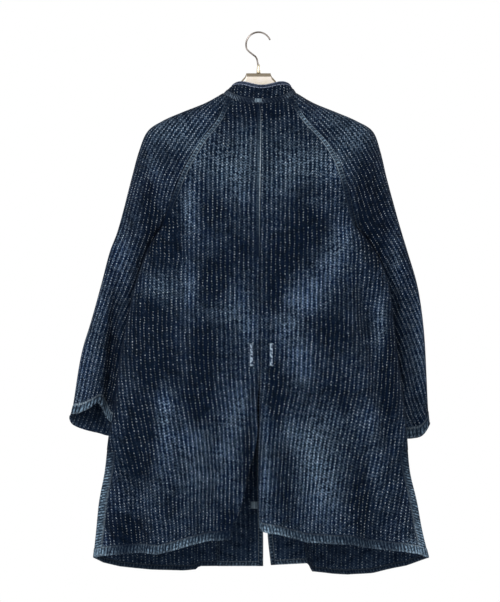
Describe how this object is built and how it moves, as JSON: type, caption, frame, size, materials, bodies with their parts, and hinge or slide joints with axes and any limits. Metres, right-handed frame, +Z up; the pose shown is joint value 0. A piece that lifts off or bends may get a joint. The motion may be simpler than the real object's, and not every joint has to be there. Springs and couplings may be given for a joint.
{
  "type": "sashiko coat on hanger",
  "caption": "Knee-length raglan coat of indigo sashiko-stitched cotton with a stand collar and back vent, hanging unbuttoned on a plastic hanger.",
  "frame": {"origin": "inside of the top of the hanger's hook, where a rail carries it", "axes": "+Z up, the coat's front faces -Y, the wearer's left is +X"},
  "size_m": [0.7608, 0.1611, 1.1423],
  "materials": {
    "coat_cloth": "washed indigo cotton with pale running stitches",
    "facing_cloth": "darker inside of the same cotton",
    "collar_cloth": "washed indigo cotton, worn at the edges",
    "loop_cloth": "washed indigo cotton worn pale",
    "button": "dark satin",
    "hanger_plastic": "translucent cream, satin",
    "hook_metal": "nickel plated"
  },
  "bodies": {
    "root": {"back_left": "coat_cloth", "back_right": "coat_cloth", "front_left": "coat_cloth", "front_right": "coat_cloth", "facing_left": "facing_cloth", "facing_right": "facing_cloth", "sleeve_back_left": "coat_cloth", "sleeve_back_right": "coat_cloth", "sleeve_front_left": "coat_cloth", "sleeve_front_right": "coat_cloth", "collar": "collar_cloth", "belt_loop_left": "loop_cloth", "belt_loop_right": "loop_cloth", "button_1": "button", "button_2": "button", "button_3": "button", "button_4": "button", "button_5": "button", "button_6": "button", "hanger_body": "hanger_plastic", "hook_ferrule": "hook_metal", "hanger_hook": "hook_metal"}
  },
  "joints": []
}
